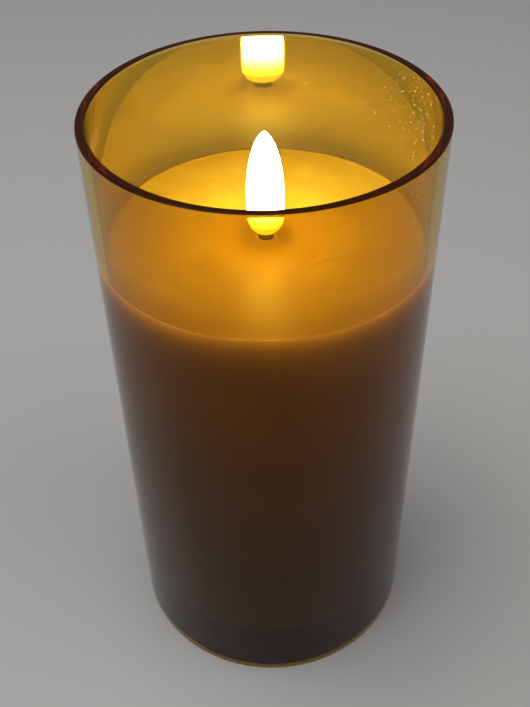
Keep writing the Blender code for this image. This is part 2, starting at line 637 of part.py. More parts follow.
def make_switch():
    """A three-position slide switch under the board, with its knob pointing down."""
    shell_half = (6.2 * MM, 2.8 * MM)
    shell_wall = 0.35 * MM
    shell_low, shell_high = 3.0 * MM, 7.6 * MM
    steel = make_material("switch_steel", (0.58, 0.58, 0.6), 0.3, metallic=1.0)
    shell = box("switch_shell", (-shell_half[0], SWITCH_Y - shell_half[1], shell_low),
                (shell_half[0], SWITCH_Y + shell_half[1], shell_high), steel)
    room = [half - shell_wall for half in shell_half]
    cut_box(shell, (-room[0], SWITCH_Y - room[1], shell_low + shell_wall),
            (room[0], SWITCH_Y + room[1], 20.0 * MM))
    knob_half = (1.2 * MM, 1.1 * MM)
    slot = (knob_half[0] + SWITCH_TRAVEL / 2 + GAP, knob_half[1] + GAP)
    cut_box(shell, (-slot[0], SWITCH_Y - slot[1], 0.0), (slot[0], SWITCH_Y + slot[1], 5.0 * MM))

    # The slider: a carriage inside the shell, and the knob that comes out through the floor
    carriage_half = (2.6 * MM, room[1] - GAP)
    carriage_low = shell_low + shell_wall + GAP
    carriage_high = carriage_low + 1.5 * MM
    black = make_material("switch_knob", (0.02, 0.02, 0.02), 0.4)
    slider = box("switch_slider", (-carriage_half[0], -carriage_half[1], carriage_low),
                 (carriage_half[0], carriage_half[1], carriage_high), black)
    slider.location = (SWITCH_REST_X, SWITCH_Y, 0.0)
    join_box(slider, (SWITCH_REST_X - knob_half[0], SWITCH_Y - knob_half[1], 0.25 * MM),
             (SWITCH_REST_X + knob_half[0], SWITCH_Y + knob_half[1], carriage_low + 0.5 * MM))

    # The wiper: a small strip on the carriage, which bridges two of the pins
    strip_low = carriage_high + GAP
    strip_high = strip_low + 0.35 * MM
    strip_half = (1.9 * MM, 0.9 * MM)
    bronze = make_material("wiper_bronze", (0.6, 0.38, 0.2), 0.3, metallic=1.0)
    wiper = box("switch_wiper", (-strip_half[0], -strip_half[1], strip_low),
                (strip_half[0], strip_half[1], strip_high), bronze)
    wiper.location = (SWITCH_REST_X, SWITCH_Y, 0.0)

    # The base that carries the pins
    base_low, base_high = strip_high + 0.2 * MM + GAP, BOARD_BOTTOM - GAP
    base_half = (room[0] - GAP, room[1] - GAP)
    brown = make_material("terminal_board", (0.3, 0.16, 0.06), 0.6)
    terminal = box("switch_terminal_base", (-base_half[0], SWITCH_Y - base_half[1], base_low),
                   (base_half[0], SWITCH_Y + base_half[1], base_high), brown)
    for x in switch_pin_places():
        join_round(terminal, 0.3 * MM, (x, SWITCH_Y, base_low + 0.5 * MM),
                   (x, SWITCH_Y, BOARD_TOP + 1.0 * MM), 8)


clear_scene()
pieces = make_collection("flameless_led_candle")
tools = make_collection("shaping_tools")
make_glass_cylinder()
make_wax_shell()
make_flame_bulb()
make_led_board()
make_wick()
make_led_leads()
make_base_housing()
make_base_cover()
make_glue_ring()
make_cover_screws()
make_batteries()
make_contacts()
make_battery_springs()
make_battery_leads()
make_battery_door()
make_circuit_board()
make_board_components()
make_switch()
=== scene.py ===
"""Flameless LED candle: the looks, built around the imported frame.

Units are metres, +Z up, in the same frame as the CAD. The front of the candle is -Y.
"""
import json
import math

import bmesh
import bpy
from mathutils import Matrix, Vector, noise


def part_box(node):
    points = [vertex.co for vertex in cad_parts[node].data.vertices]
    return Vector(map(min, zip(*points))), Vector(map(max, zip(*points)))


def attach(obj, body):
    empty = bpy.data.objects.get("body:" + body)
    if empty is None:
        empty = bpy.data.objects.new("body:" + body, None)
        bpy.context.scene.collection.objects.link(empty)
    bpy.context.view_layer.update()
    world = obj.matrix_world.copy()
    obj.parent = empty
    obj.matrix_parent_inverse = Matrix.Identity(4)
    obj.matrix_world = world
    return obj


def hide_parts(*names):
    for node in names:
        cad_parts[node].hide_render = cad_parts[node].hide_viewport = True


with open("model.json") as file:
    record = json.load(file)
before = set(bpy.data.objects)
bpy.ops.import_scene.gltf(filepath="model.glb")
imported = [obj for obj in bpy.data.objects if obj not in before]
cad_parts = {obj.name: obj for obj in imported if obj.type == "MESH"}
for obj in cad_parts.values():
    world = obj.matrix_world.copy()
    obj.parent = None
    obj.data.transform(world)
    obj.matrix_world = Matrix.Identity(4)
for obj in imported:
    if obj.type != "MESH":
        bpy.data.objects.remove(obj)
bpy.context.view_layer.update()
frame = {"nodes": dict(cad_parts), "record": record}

MM = 0.001
BODY = "candle"                      # the body that holds everything but the switch and the door

# Camera, as fitted to the candle's rim, wax edge and outline
CAMERA_PLACE = (0.0, -0.17031, 0.23959)
CAMERA_PITCH = math.radians(42.394)  # downwards
CAMERA_YAW = math.radians(-0.279)
CAMERA_ROLL = math.radians(-1.307)
CAMERA_LENS = 47.62
CAMERA_SENSOR = 36.0

# Sizes read from the frame
GLASS_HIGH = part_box("glass_cylinder")[1]
WAX_LOW, WAX_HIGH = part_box("wax_shell")
FLAME_LOW, FLAME_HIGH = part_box("flame_bulb")
STEM_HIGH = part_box("wick_stem")[1]
GLASS_RADIUS = GLASS_HIGH.x
GLASS_TOP = GLASS_HIGH.z
WAX_RIM = WAX_HIGH.z
FLAME_RADIUS = FLAME_HIGH.x
FLAME_TIP = FLAME_HIGH.z

# Sizes that the frame's boxes don't give
GLASS_WALL = 2.0 * MM
GLASS_RIM_ROUND = 0.5 * MM
GLASS_BORE = GLASS_RADIUS - GLASS_WALL
SKIN = 0.03 * MM                     # two surfaces that touch are this far into or off each other
WAX_SEAT = GLASS_BORE + SKIN         # the wax touches the glass all round
CELL_RIM = 1.1 * MM                  # width of the jacket folded over each end of a cell
COPPER_START = 0.70                  # share of a cell's length where its copper end begins

FINE = 160                           # sides of the large round pieces
ROUND = 64                           # sides of the small ones
SHARP = math.radians(50)             # an edge of a turned piece that bends more stays sharp
NODE_SHARP = math.radians(32)        # the same for a CAD node

# Studio
FLOOR_SIZE = 3.0
WORLD_COLOR = (0.80, 0.80, 0.82, 1.0)
WORLD_STRENGTH = 0.12
LAMPS = (("key", (-0.25, -0.05, 0.95), 0.7, 3.6),     # name, place, size and power
         ("fill", (0.5, -0.2, 0.8), 0.6, 1.0))


# --- Meshes ----------------------------------------------------------------------------

def add_piece(name, mesh, material):
    """A visual piece that rides on the candle's body."""
    mesh.materials.append(material)
    piece = bpy.data.objects.new(name, mesh)
    bpy.context.scene.collection.objects.link(piece)
    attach(piece, BODY)
    return piece


def turned_mesh(name, profile, sides, closed, shift=None):
    """Spin a profile of (radius, height) pairs about Z.

    closed joins its last pair to its first. shift(point) returns the point's new place.
    """
    shape = bmesh.new()
    rings = []
    for radius, height in profile:
        if radius < 1e-7:
            rings.append([shape.verts.new((0.0, 0.0, height))])
            continue
        ring = []
        for side in range(sides):
            angle = 2 * math.pi * side / sides
            point = Vector((radius * math.cos(angle), radius * math.sin(angle), height))
            ring.append(shape.verts.new(shift(point) if shift else point))
        rings.append(ring)
    pairs = list(zip(rings, rings[1:]))
    if closed:
        pairs.append((rings[-1], rings[0]))
    for upper, lower in pairs:
        for side in range(sides):
            after = (side + 1) % sides
            corners = [upper[side % len(upper)], lower[side % len(lower)],
                       lower[after % len(lower)], upper[after % len(upper)]]
            face = [v for i, v in enumerate(corners) if v not in corners[:i]]
            if len(face) > 2:
                shape.faces.new(face)
    bmesh.ops.recalc_face_normals(shape, faces=shape.faces)
    mesh = bpy.data.meshes.new(name)
    shape.to_mesh(mesh)
    shape.free()
    mesh.shade_smooth()
    mesh.set_sharp_from_angle(angle=SHARP)
    return mesh


def arc(centre, radius, start, end, steps):
    """Points of an arc in the profile plane. Angles are in degrees."""
    points = []
    for step in range(steps + 1):
        angle = math.radians(start + (end - start) * step / steps)
        points.append((centre[0] + radius * math.cos(angle),
                       centre[1] + radius * math.sin(angle)))
    return points


# --- Materials -------------------------------------------------------------------------

class Nodes:
    """A short way to write a material's node tree."""

    def __init__(self, name):
        self.material = bpy.data.materials.new(name)
        self.material.use_nodes = True
        self.tree = self.material.node_tree
        self.tree.nodes.clear()
        self.output = self.tree.nodes.new("ShaderNodeOutputMaterial")

    def add(self, kind, inputs=None, **settings):
        """A shader node. An input's value is another node's socket, a number or a colour."""
        node = self.tree.nodes.new("ShaderNode" + kind)
        for key, value in settings.items():
            setattr(node, key, value)
        for key, value in (inputs or {}).items():
            socket = node.inputs[key]
            if isinstance(value, bpy.types.NodeSocket):
                self.tree.links.new(value, socket)
            elif isinstance(value, tuple) and socket.type == "RGBA" and len(value) == 3:
                socket.default_value = (*value, 1.0)
            else:
                socket.default_value = value
        return node

    def math(self, operation, a, b=0.0):
        return self.add("Math", {0: a, 1: b}, operation=operation).outputs[0]

    def fade(self, value, length):
        """1 where value is 0, falling by a factor of e over each length."""
        return self.math("POWER", math.e, self.math("MULTIPLY", value, -1 / length))

    def distance(self, a, b):
        """How far a point is from an axis, given its two offsets from it."""
        return self.math("SQRT", self.math("ADD", self.math("POWER", a, 2.0),
                                           self.math("POWER", b, 2.0)))

    def mix(self, factor, a, b):
        node = self.add("Mix", {0: factor, 6: a, 7: b}, data_type="RGBA")
        return node.outputs[2]

    def place(self):
        """The point's place in the piece's frame, in metres. At rest that is the row frame."""
        return self.add("TexCoord").outputs["Object"]

    def axes(self):
        """The same place as X, Y and Z sockets."""
        return self.add("SeparateXYZ", {0: self.place()}).outputs

    def noise(self, scale, detail=3.0, roughness=0.5):
        return self.add("TexNoise", {"Vector": self.place(), "Scale": scale, "Detail": detail,
                                     "Roughness": roughness}).outputs[0]

    def ramp(self, value, low, high, to_low=0.0, to_high=1.0, smooth=True):
        """value, taken from the range low to high into the range to_low to to_high."""
        node = self.add("MapRange", {"Value": value, "From Min": low, "From Max": high,
                                     "To Min": to_low, "To Max": to_high})
        node.interpolation_type = "SMOOTHSTEP" if smooth else "LINEAR"
        return node.outputs[0]

    def bump(self, height, distance):
        node = self.add("Bump", {"Height": height, "Distance": distance, "Strength": 1.0})
        return node.outputs[0]

    def show(self, shader):
        self.tree.links.new(shader, self.output.inputs["Surface"])
        return self.material


def stretched(n, along, scale, detail=3.0):
    """Noise drawn out along the axes whose factors in along are small."""
    place = n.add("VectorMath", {0: n.place(), 1: along}, operation="MULTIPLY").outputs[0]
    return n.add("TexNoise", {"Vector": place, "Scale": scale, "Detail": detail}).outputs[0]


def glass_material():
    """Amber glass. Shadow rays and diffuse rays go straight through it, so it lets light in.

    The rim's faint glow stands in for flame light that runs up inside the wall.
    """
    n = Nodes("amber_glass")
    streaks = n.ramp(stretched(n, (1.0, 1.0, 0.15), 120.0), 0.3, 0.7)
    color = n.mix(streaks, (0.93, 0.78, 0.36), (0.95, 0.81, 0.39))
    rim = n.ramp(n.axes()["Z"], GLASS_TOP - 0.7 * MM, GLASS_TOP - 0.3 * MM, 0.0, 0.03)
    glass = n.add("BsdfPrincipled", {"Base Color": color, "Roughness": 0.0, "IOR": 1.5,
                                     "Transmission Weight": 1.0,
                                     "Specular Tint": (0.30, 0.20, 0.10),
                                     "Emission Color": (1.0, 0.25, 0.04),
                                     "Emission Strength": rim})
    clear = n.add("BsdfTransparent", {"Color": (0.96, 0.90, 0.68)})
    path = n.add("LightPath")
    either = n.math("MAXIMUM", path.outputs["Is Shadow Ray"], path.outputs["Is Diffuse Ray"])
    mixed = n.add("MixShader", {0: either, 1: glass.outputs[0], 2: clear.outputs[0]})
    amber = n.add("VolumeAbsorption", {"Color": (0.93, 0.81, 0.22), "Density": 420.0})
    n.tree.links.new(amber.outputs[0], n.output.inputs["Volume"])
    return n.show(mixed.outputs[0])


def dust(n, place):
    """Specks, thickest near the rim on the right, and wiping smears below the rim: 0 to 1."""
    height = n.ramp(place["Z"], GLASS_TOP - 24 * MM, GLASS_TOP - 1 * MM)
    right = n.ramp(place["X"], 0.68 * GLASS_BORE, 0.96 * GLASS_BORE, 0.006, 0.80)
    amount = n.math("MULTIPLY", height, right)
    marks = n.math("MULTIPLY", n.ramp(stretched(n, (1.0, 1.0, 2.5), 75.0, 5.0), 0.60, 0.74),
                   n.math("MULTIPLY", height, 0.24))
    for scale in (1000.0, 2000.0):
        cells = n.add("TexVoronoi", {"Vector": n.place(), "Scale": scale})
        chance = n.add("SeparateColor", {0: cells.outputs["Color"]}).outputs[0]
        speck = n.math("MULTIPLY", n.ramp(cells.outputs["Distance"], 0.10, 0.28, 0.7, 0.0),
                       n.math("LESS_THAN", chance, amount))
        marks = n.math("MAXIMUM", marks, speck)
    return marks


def film_material():
    """The gold tint on the inner wall, which is half a mirror. Its colour is darker close to the
    wax: painted shade, for the dark reflection of the wax's edge.
    """
    n = Nodes("gold_tint")
    place = n.axes()
    pale_dust = (0.95, 0.78, 0.45)
    clear = n.add("BsdfTransparent", {"Color": (0.88, 0.83, 0.46)})
    # painted shade: the gold is darker in the 9 mm above the wax, standing in for the dark
    # reflection of the wax's edge
    rise = n.ramp(place["Z"], WAX_RIM, WAX_RIM + 9 * MM)
    color = n.mix(rise, (0.50, 0.34, 0.06), (1.0, 0.84, 0.18))
    gold = n.add("BsdfAnisotropic", {"Color": color, "Roughness": 0.03})
    facing = n.add("LayerWeight", {"Blend": 0.3}).outputs["Facing"]
    share = n.ramp(facing, 0.0, 1.0, 0.30, 0.85, smooth=False)
    mixed = n.add("MixShader", {0: share, 1: clear.outputs[0], 2: gold.outputs[0]})
    lit = n.add("BsdfDiffuse", {"Color": pale_dust})
    through = n.add("BsdfTranslucent", {"Color": pale_dust})
    pale = n.add("MixShader", {0: 0.5, 1: lit.outputs[0], 2: through.outputs[0]})
    dusty = n.add("MixShader", {0: dust(n, place), 1: mixed.outputs[0], 2: pale.outputs[0]})
    return n.show(dusty.outputs[0])


def wax_top_material():
    """The top of the wax, with a ring of painted shade where it meets the glass.

    The faint glow near the stem stands in for flame light that scatters inside the wax.
    """
    n = Nodes("amber_wax_top")
    place = n.axes()
    reach = n.distance(place["X"], place["Y"])
    near = n.fade(reach, 7 * MM)
    color = n.mix(n.ramp(n.noise(110.0, 4.0), 0.35, 0.7),
                  (0.54, 0.335, 0.020), (0.48, 0.285, 0.015))
    # painted shade: the top turns dark brown in the last 0.55 mm before the glass
    edge = n.ramp(reach, WAX_SEAT - 0.55 * MM, WAX_SEAT - 0.25 * MM, 0.0, 0.85)
    color = n.mix(edge, color, (0.12, 0.045, 0.003))
    pits = n.add("TexVoronoi", {"Vector": n.place(), "Scale": 260.0})
    pit = n.ramp(pits.outputs["Distance"], 0.0, 0.16, -1.0, 0.0)
    grain = n.math("ADD", n.math("MULTIPLY", n.noise(900.0, 3.0), 0.3), pit)
    wax = n.add("BsdfPrincipled", {
        "Base Color": color, "Roughness": 0.45, "IOR": 1.44, "Specular IOR Level": 0.3,
        "Normal": n.bump(grain, 0.06 * MM),
        "Subsurface Weight": 0.2, "Subsurface Radius": (1.0, 0.45, 0.10),
        "Subsurface Scale": 0.004,
        "Emission Color": (1.0, 0.54, 0.02),
        "Emission Strength": n.math("MULTIPLY", near, 0.30)})
    return n.show(wax.outputs[0])


def wax_side_material():
    """The side of the wax. Its glow stands in for flame light that fades on its way down, and its
    colour darkens downwards as painted shade.
    """
    n = Nodes("amber_wax_side")
    depth = n.math("SUBTRACT", WAX_RIM, n.axes()["Z"])
    glow = None
    for length, strength in ((0.5, 0.15), (2.5, 0.42), (20.0, 0.04), (60.0, 0.010)):
        part = n.math("MULTIPLY", n.fade(depth, length * MM), strength)
        glow = n.math("ADD", glow, part) if glow else part
    flow = n.ramp(n.noise(60.0, 5.0), 0.35, 0.7, 0.90, 1.08)
    # painted shade: the side's colour darkens from the top of the wax down to its foot
    painted_shade_depth = n.ramp(depth, 0.0, WAX_HIGH.z - WAX_LOW.z)
    color = n.mix(painted_shade_depth, (0.14, 0.062, 0.008), (0.045, 0.021, 0.004))
    shade = n.add("VectorMath", {0: color, "Scale": flow}, operation="SCALE").outputs[0]
    wax = n.add("BsdfPrincipled", {
        "Base Color": shade, "Roughness": 0.6, "Specular IOR Level": 0.0,
        "Emission Color": (1.0, 0.42, 0.04), "Emission Strength": n.math("MULTIPLY", glow, flow)})
    return n.show(wax.outputs[0])


def flame_material():
    """A milky bulb, lit from inside: yellow at its round bottom and white above."""
    n = Nodes("lit_flame")
    rise = n.ramp(n.axes()["Z"], FLAME_LOW.z + 2.2 * MM, FLAME_LOW.z + 10.5 * MM)
    color = n.mix(rise, (1.0, 0.62, 0.045), (1.0, 0.79, 0.40))
    strength = n.ramp(rise, 0.0, 1.0, 2.4, 66.0, smooth=False)
    bulb = n.add("BsdfPrincipled", {"Base Color": (0.95, 0.9, 0.8), "Roughness": 0.35,
                                    "Emission Color": color, "Emission Strength": strength})
    return n.show(bulb.outputs[0])


def moulded(name, color, roughness, grain=1100.0, depth=0.02 * MM, wear=0.5):
    """Moulded plastic: fine spark-eroded texture, uneven gloss and paler worn spots."""
    n = Nodes(name)
    speckle = n.noise(grain, 4.0)
    patch = n.ramp(n.noise(90.0, 4.0), 0.3, 0.75)
    shade = n.mix(n.ramp(speckle, 0.3, 0.7), tuple(0.82 * c for c in color), color)
    worn = n.math("MULTIPLY", n.ramp(n.noise(420.0, 5.0, 0.7), 0.62, 0.72), 0.35 * wear)
    shade = n.mix(worn, shade, tuple(0.5 * c + 0.10 for c in color))
    rough = n.ramp(patch, 0.0, 1.0, roughness * 0.8, min(1.0, roughness * 1.2))
    surface = n.add("BsdfPrincipled", {"Base Color": shade, "Roughness": rough,
                                       "Normal": n.bump(speckle, depth)})
    return n.show(surface.outputs[0])


def metal(name, color, roughness, along=(1.0, 12.0, 12.0)):
    """Bare or plated metal: drawing lines along one axis, and dull stains."""
    n = Nodes(name)
    stain = (0.30, 0.26, 0.20)
    lines = stretched(n, along, 260.0, 4.0)
    dull = n.ramp(n.noise(500.0, 4.0), 0.52, 0.75)
    shade = n.mix(n.math("MULTIPLY", dull, 0.5), color, stain)
    rough = n.ramp(lines, 0.3, 0.7, 0.75 * roughness, 1.3 * roughness)
    rough = n.math("ADD", rough, n.math("MULTIPLY", dull, 0.2))
    surface = n.add("BsdfPrincipled", {"Base Color": shade, "Metallic": 1.0, "Roughness": rough,
                                       "Normal": n.bump(lines, 0.006 * MM)})
    return n.show(surface.outputs[0])


def board(name, mask, trace, scale):
    """A circuit board: solder mask with the copper tracks standing up under it."""
    n = Nodes(name)
    tracks = n.add("TexBrick", {"Vector": n.place(), "Scale": scale, "Mortar Size": 0.035,
                                "Mortar Smooth": 0.2, "Brick Width": 0.9, "Row Height": 0.22,
                                "Color1": (0.0, 0.0, 0.0), "Color2": (0.0, 0.0, 0.0),
                                "Mortar": (1.0, 1.0, 1.0)}).outputs["Fac"]
    gaps = n.ramp(n.noise(0.9 * scale, 2.0), 0.46, 0.5)
    copper = n.math("MULTIPLY", tracks, gaps)
    shade = n.mix(copper, mask, trace)
    shade = n.mix(n.math("MULTIPLY", n.noise(1500.0, 2.0), 0.25), shade,
                  tuple(0.6 * c for c in mask))
    surface = n.add("BsdfPrincipled", {"Base Color": shade, "Roughness": 0.32,
                                       "Normal": n.bump(copper, 0.05 * MM)})
    return n.show(surface.outputs[0])


def band(n, value, centre, half):
    """1 where value is within half of centre, else 0."""
    return n.math("LESS_THAN", n.math("ABSOLUTE", n.math("SUBTRACT", value, centre)), half)


def resistor_material():
    """Tan lacquer with four colour bands, each at its share of the length."""
    n = Nodes("resistor_lacquer")
    low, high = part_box("current_resistor")
    along = n.axes()["X"]
    shade = n.mix(n.ramp(n.noise(1500.0), 0.3, 0.7), (0.50, 0.36, 0.20), (0.60, 0.45, 0.27))
    bands = ((0.16, (0.45, 0.16, 0.02)), (0.36, (0.02, 0.02, 0.02)),
             (0.56, (0.02, 0.02, 0.02)), (0.84, (0.65, 0.45, 0.12)))
    for share, color in bands:
        shade = n.mix(band(n, along, low.x + (high.x - low.x) * share, 0.17 * MM), shade, color)
    surface = n.add("BsdfPrincipled", {"Base Color": shade, "Roughness": 0.35,
                                       "Normal": n.bump(n.noise(2200.0), 0.03 * MM)})
    return n.show(surface.outputs[0])


def capacitor_material():
    """A shrink sleeve with its pale stripe, and the bare aluminium top."""
    n = Nodes("capacitor_sleeve")
    low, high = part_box("smoothing_capacitor")
    place = n.axes()
    off_x = n.math("SUBTRACT", place["X"], (low.x + high.x) / 2)
    off_y = n.math("SUBTRACT", place["Y"], (low.y + high.y) / 2)
    turn = n.math("ARCTAN2", off_y, off_x)
    shade = n.mix(n.ramp(n.noise(1300.0), 0.3, 0.7), (0.015, 0.022, 0.06), (0.022, 0.035, 0.09))
    shade = n.mix(band(n, turn, -2.0, 0.35), shade, (0.45, 0.47, 0.50))
    inner = n.math("LESS_THAN", n.distance(off_x, off_y), 1.55 * MM)
    lid = n.math("MULTIPLY", inner, n.math("GREATER_THAN", place["Z"], high.z - 0.2 * MM))
    shade = n.mix(lid, shade, (0.55, 0.55, 0.56))
    cross = n.math("MINIMUM", n.math("ABSOLUTE", off_x), n.math("ABSOLUTE", off_y))
    groove = n.math("MULTIPLY", n.ramp(cross, 0.08 * MM, 0.16 * MM, 1.0, 0.0), lid)
    surface = n.add("BsdfPrincipled", {"Base Color": shade, "Roughness": 0.33, "Metallic": lid,
                                       "Normal": n.bump(n.math("SUBTRACT", 1.0, groove),
                                                        0.15 * MM)})
    return n.show(surface.outputs[0])


def cell_material(name, way):
    """A cell's jacket: dark, with a copper end at the positive pole, and bare steel ends.

    way is 1 where the positive pole is at the +X end, and -1 where it is at the -X end.
    """
    n = Nodes(name)
    low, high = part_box("battery_1" if way > 0 else "battery_2")
    centre_y = (low.y + high.y) / 2
    centre_z = (low.z + high.z) / 2
    place = n.axes()
    along = n.math("MULTIPLY", place["X"], float(way))
    start = low.x if way > 0 else -high.x
    length = high.x - low.x
    off_y = n.math("SUBTRACT", place["Y"], centre_y)
    off_z = n.math("SUBTRACT", place["Z"], centre_z)
    seam = start + COPPER_START * length
    copper = n.math("GREATER_THAN", along, seam)
    shade = n.mix(copper, (0.016, 0.017, 0.020), (0.62, 0.30, 0.12))
    shade = n.mix(band(n, along, seam, 0.35 * MM), shade, (0.7, 0.7, 0.68))
    bare = n.math("LESS_THAN", n.distance(off_y, off_z), (high.z - low.z) / 2 - CELL_RIM)
    scuff = n.math("MULTIPLY", n.ramp(n.noise(500.0, 6.0, 0.7), 0.60, 0.76), 0.18)
    shade = n.mix(scuff, shade, (0.30, 0.29, 0.28))
    shade = n.mix(bare, shade, (0.58, 0.57, 0.54))
    surface = n.add("BsdfPrincipled", {"Base Color": shade, "Roughness": 0.28,
                                       "Metallic": n.math("MAXIMUM", bare, copper),
                                       "Normal": n.bump(n.noise(900.0), 0.02 * MM)})
    return n.show(surface.outputs[0])


def sealant_material():
    """Black silicone, smeared unevenly against the glass."""
    n = Nodes("black_sealant")
    flow = stretched(n, (1.0, 1.0, 2.2), 130.0, 4.0)
    shade = n.mix(n.ramp(flow, 0.35, 0.7), (0.007, 0.006, 0.006), (0.016, 0.014, 0.012))
    bead = n.add("BsdfPrincipled", {"Base Color": shade, "Roughness": 0.5,
                                    "Specular IOR Level": 0.1,
                                    "Normal": n.bump(flow, 0.2 * MM)})
    return n.show(bead.outputs[0])


def chip_material():
    """The small warm lights on the board inside the flame."""
    n = Nodes("lit_chip")
    glow = n.ramp(n.noise(1800.0), 0.3, 0.7, 5.0, 7.0)
    chip = n.add("BsdfPrincipled", {"Base Color": (0.9, 0.7, 0.2), "Roughness": 0.4,
                                    "Emission Color": (1.0, 0.78, 0.40),
                                    "Emission Strength": glow})
    return n.show(chip.outputs[0])


# --- Pieces ----------------------------------------------------------------------------

def wall_line(radius, start, end):
    """Points along a wall of the glass. Close rings at both ends keep its shading true."""
    shares = [0.0, 0.001, 0.004, 0.1, 0.3, 0.5, 0.7, 0.9, 0.996, 0.999, 1.0]
    return [(radius, start + (end - start) * share) for share in shares]


def make_glass():
    """The open glass tube, with a rounded rim and foot, and the tint film on its inner wall."""
    edge = GLASS_RIM_ROUND
    foot = 0.4 * MM                  # radius of the foot's round edges
    inner_centre = (GLASS_BORE + edge, GLASS_TOP - edge)
    outer_centre = (GLASS_RADIUS - edge, GLASS_TOP - edge)
    crown = [(GLASS_RADIUS - GLASS_WALL * share, GLASS_TOP) for share in (0.7, 0.5, 0.3)]
    profile = arc(inner_centre, edge, 172, 90, 7) + crown + arc(outer_centre, edge, 90, 8, 7)
    profile += wall_line(GLASS_RADIUS, GLASS_TOP - edge, foot)
    profile += arc((GLASS_RADIUS - foot, foot), foot, -10, -90, 4)
    profile += arc((GLASS_BORE + foot, foot), foot, -90, -170, 4)
    profile += wall_line(GLASS_BORE, foot, GLASS_TOP - edge)
    mesh = turned_mesh("glass_tube", profile, FINE, closed=True)
    glass = add_piece("glass_tube", mesh, glass_material())
    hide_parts("glass_cylinder")

    inner = GLASS_BORE - SKIN
    below_wax = 1.5 * MM             # how far the film runs on behind the edge of the wax
    low, high = WAX_RIM - below_wax, GLASS_TOP - edge
    steps = 12
    profile = [(inner, high + (low - high) * step / steps) for step in range(steps + 1)]
    film = add_piece("gold_tint_film", turned_mesh("gold_tint_film", profile, FINE, closed=False),
                     film_material())
    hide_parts("glass_cylinder")


def make_wax():
    """The hollow wax: a dished top with a lip at the stem and at the glass, a side and a bore."""
    hole = STEM_HIGH.x + 0.25 * MM
    edge = WAX_SEAT
    flat = WAX_RIM - 0.9 * MM        # height of the top, without its dish and lips
    wall = 3.8 * MM
    roof = flat - 4.75 * MM          # ceiling of the hollow
    cove = 1.5 * MM                  # slope between the ceiling and the bore
    radii = [hole, hole + 0.2 * MM, hole + 0.5 * MM, hole + 1.0 * MM, hole + 2.0 * MM]
    radii += [5.0 * MM + 2.5 * MM * step for step in range(12)]
    radii += [edge - inset * MM for inset in (1.6, 1.1, 0.7, 0.45, 0.25, 0.1, 0.0)]

    def height(radius):
        dish = 0.45 * MM * (radius / edge) ** 2
        lip = 0.18 * MM * math.exp(-(radius - hole) / (0.5 * MM))
        rise = 0.45 * MM * math.exp(-(edge - radius) / (0.35 * MM))
        return flat + dish + lip + rise

    hole_wall = (hole, flat - 3.0 * MM)
    top = [hole_wall] + [(radius, height(radius)) for radius in radii]
    start = top[-1][1] - 0.02 * MM
    steps = 24
    side = [(edge, start + (WAX_LOW.z - start) * step / steps) for step in range(steps + 1)]
    bore = edge - wall
    inside = [(bore, WAX_LOW.z), (bore, flat - 6.0 * MM), (bore - cove, roof), (hole, roof)]
    lean = 0.2 * MM                  # how much higher the top is at the back than on the axis

    def settle(point):
        """Poured wax is never quite flat, so the top gets waves and leans to the front."""
        if point.z < flat - 1.0 * MM:
            return point
        radius = math.hypot(point.x, point.y)
        ease = min(1.0, (edge - radius) / (2.0 * MM))
        wave = noise.noise(point * 60) * 0.08 * MM + noise.noise(point * 220) * 0.02 * MM
        return point + Vector((0, 0, ease * wave + lean * point.y / edge))

    mesh = turned_mesh("wax_body", top + side + inside, FINE, True, settle)
    wax = add_piece("wax_body", mesh, wax_top_material())
    mesh.materials.append(wax_side_material())
    facing_out = 0.9                 # least share of a normal along the radius, for the side
    for face in mesh.polygons:
        outward = face.normal.x * face.center.x + face.normal.y * face.center.y
        radius = math.hypot(face.center.x, face.center.y)
        face.material_index = int(outward > facing_out * radius)
    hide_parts("wax_shell")


def make_sealant():
    """The bead in the base's groove, and what it squeezes up and down the gap to the glass."""
    groove_low, groove_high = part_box("glue_ring")
    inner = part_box("base_housing")[1].x + 0.02 * MM
    groove = inner - 0.5 * MM
    run_down = 6.9 * MM              # how far it runs down below the groove
    wax_gap = 0.15 * MM
    low, high = groove_low.z - run_down, WAX_LOW.z - wax_gap
    middle, half = (low + high) / 2, (high - low) / 2

    def ragged(point):
        """The lower end of the squeezed sealant wanders a little."""
        if point.z > groove_high.z:
            return point
        end = max(0.0, abs(point.z - middle) / half - 0.9) * 10
        wander = end * noise.noise(Vector((point.x, point.y, 0)) * 90) * 0.5 * MM
        return point + Vector((0, 0, wander))

    steps = 8
    profile = [(WAX_SEAT, low + (high - low) * step / steps) for step in range(steps + 1)]
    profile += [(inner, high), (inner, groove_high.z), (groove, groove_high.z),
                (groove, groove_low.z), (inner, groove_low.z), (inner, low)]
    mesh = turned_mesh("sealant", profile, FINE, True, ragged)
    sealant = add_piece("sealant", mesh, sealant_material())
    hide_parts("glue_ring")


def make_flame():
    """The bulb: a thin bullet-shaped shell, open at the bottom where the stem goes in."""
    belly = 125.0 * MM               # height of the centre of the round bottom
    shoulder = belly + 5.5 * MM      # where the straight side ends and the taper begins
    taper = 0.65                     # 0.5 gives an elliptical tip, and more a sharper one
    wall = 0.9 * MM
    neck = STEM_HIGH.x + 0.2 * MM

    def side(radius, tip):
        points = [(0.0, tip)]
        steps = 28
        for step in range(1, steps + 1):
            reach = math.cos(math.pi / 2 * step / steps)
            points.append((radius * (1 - reach ** 2) ** taper,
                           shoulder + (tip - shoulder) * reach))
        points += [(radius, belly + (shoulder - belly) * part) for part in (0.66, 0.33)]
        return points + arc((0, belly), radius, 0, -math.degrees(math.acos(neck / radius)), 14)

    outside = side(FLAME_RADIUS, FLAME_TIP)
    inside = side(FLAME_RADIUS - wall, FLAME_TIP - 1.5 * wall)
    mesh = turned_mesh("flame_shell", outside + inside[::-1], ROUND, closed=False)
    flame = add_piece("flame_shell", mesh, flame_material())
    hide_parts("flame_bulb")


